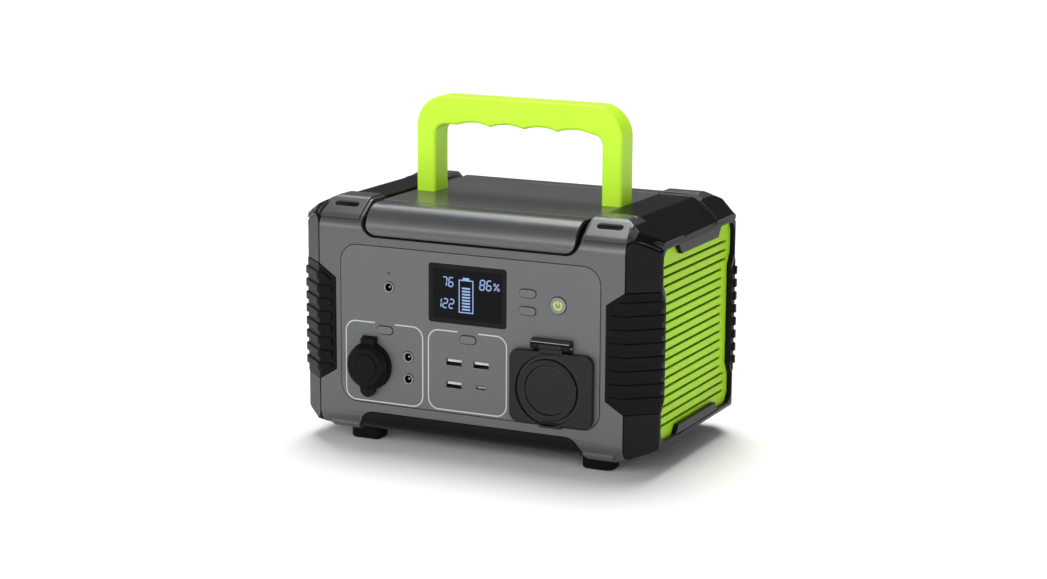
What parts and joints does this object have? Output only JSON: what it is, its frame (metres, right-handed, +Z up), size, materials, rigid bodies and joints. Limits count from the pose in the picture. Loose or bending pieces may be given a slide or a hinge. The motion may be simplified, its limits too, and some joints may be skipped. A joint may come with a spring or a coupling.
{
  "type": "power station",
  "caption": "Portable battery power station with a fixed carry handle, side vents, display, buttons, low-voltage ports, a capped car socket and a flap over its mains outlet.",
  "frame": {"origin": "on the ground, under the centre of the whole outline, the 12 V socket cap included", "axes": "+Z up, the front face with the ports looks along -Y, +X to the right of someone facing the front"},
  "size_m": [0.2838, 0.1889, 0.248],
  "materials": {
    "aluminium": "extruded",
    "black_plastic": "moulded satin black",
    "black_rubber": "moulded soft rubber",
    "brass": "contact metal",
    "button_grey": "satin grey plastic",
    "button_metal": "satin metallic",
    "capacitor_sleeve": "sleeved can",
    "cell_wrap": "shrink wrapped cells",
    "circuit_board": "green circuit board",
    "copper_winding": "taped copper winding",
    "cover_paint": "satin metallic grey paint on moulded covers",
    "deck": "semi-gloss dark grey",
    "display": "backlit display",
    "ferrite": "ferrite core",
    "led": "light guide",
    "lime_grille": "moulded lime green",
    "lime_plastic": "moulded lime green",
    "nickel": "nickel plated",
    "panel_paint": "fine satin grey",
    "screen_glass": "smoked glossy window",
    "steel": "bright steel",
    "white_plastic": "white connector plastic"
  },
  "bodies": {
    "case": {"ac_contacts": "brass", "ac_hinge_pin": "steel", "ac_outlet_frame": "black_plastic", "ac_receptacle": "black_plastic", "battery_cells": "cell_wrap", "battery_management_board": "circuit_board", "board_standoffs": "brass", "bottom_cover": "black_plastic", "bulk_capacitors": "capacitor_sleeve", "car_cap_ring": "black_rubber", "car_socket_barrel": "black_plastic", "car_socket_contact": "brass", "case_screws": "steel", "charge_indicator": "led", "control_board": "circuit_board", "control_panel": "panel_paint", "dc_jack_bodies": "black_plastic", "dc_jack_pins": "nickel", "dc_jack_sleeves": "nickel", "deck_plate": "deck", "front_cover": "cover_paint", "front_left_grip": "black_rubber", "front_right_grip": "black_rubber", "front_trim_bar": "cover_paint", "handle": "lime_plastic", "handle_screws": "steel", "heat_sink": "aluminium", "inverter_board": "circuit_board", "lcd_module": "display", "left_fan_frame": "black_plastic", "left_side_cover": "black_plastic", "left_vent_grille": "lime_grille", "lower_cell_holder": "black_plastic", "nickel_strips": "nickel", "rear_cover": "cover_paint", "rear_left_grip": "black_rubber", "rear_panel": "panel_paint", "rear_right_grip": "black_rubber", "rear_trim_bar": "cover_paint", "right_fan_frame": "black_plastic", "right_side_cover": "black_plastic", "right_vent_grille": "lime_grille", "rubber_feet": "black_rubber", "screen_window": "screen_glass", "tact_switches": "black_plastic", "top_frame": "black_plastic", "transformer_core": "ferrite", "transformer_winding": "copper_winding", "upper_cell_holder": "black_plastic", "usb_shells": "nickel", "usb_tongues": "white_plastic"},
    "power_button": {"power_button": "button_metal"},
    "display_button": {"display_button": "button_grey"},
    "ac_button": {"ac_button": "button_grey"},
    "car_button": {"car_button": "button_grey"},
    "usb_button": {"usb_button": "button_grey"},
    "ac_flap": {"ac_flap": "black_plastic"},
    "car_socket_cap": {"car_socket_cap": "black_rubber"},
    "left_fan_rotor": {"left_fan_rotor": "black_plastic"},
    "right_fan_rotor": {"right_fan_rotor": "black_plastic"}
  },
  "joints": [
    {"name": "power_button_press", "type": "slide", "parent": "case", "child": "power_button", "axis": [0, 1, 0], "range_m": [0, 0.0007], "stiffness_N_per_m": 1500},
    {"name": "display_button_press", "type": "slide", "parent": "case", "child": "display_button", "axis": [0, 1, 0], "range_m": [0, 0.0007], "stiffness_N_per_m": 1500},
    {"name": "ac_button_press", "type": "slide", "parent": "case", "child": "ac_button", "axis": [0, 1, 0], "range_m": [0, 0.0007], "stiffness_N_per_m": 1500},
    {"name": "car_button_press", "type": "slide", "parent": "case", "child": "car_button", "axis": [0, 1, 0], "range_m": [0, 0.0007], "stiffness_N_per_m": 1500},
    {"name": "usb_button_press", "type": "slide", "parent": "case", "child": "usb_button", "axis": [0, 1, 0], "range_m": [0, 0.0007], "stiffness_N_per_m": 1500},
    {"name": "ac_flap_hinge", "type": "hinge", "parent": "case", "child": "ac_flap", "pos_m": [0.06675, -0.0868, 0.0902], "axis": [-1, 0, 0], "range_deg": [0, 110]},
    {"name": "car_cap_hinge", "type": "hinge", "parent": "case", "child": "car_socket_cap", "pos_m": [-0.078, -0.08585, 0.0813], "axis": [-1, 0, 0], "range_deg": [0, 110]},
    {"name": "left_fan_spin", "type": "hinge", "parent": "case", "child": "left_fan_rotor", "pos_m": [-0.1235, 0.005, 0.098], "axis": [1, 0, 0], "continuous": true},
    {"name": "right_fan_spin", "type": "hinge", "parent": "case", "child": "right_fan_rotor", "pos_m": [0.1235, 0.005, 0.098], "axis": [1, 0, 0], "continuous": true}
  ]
}
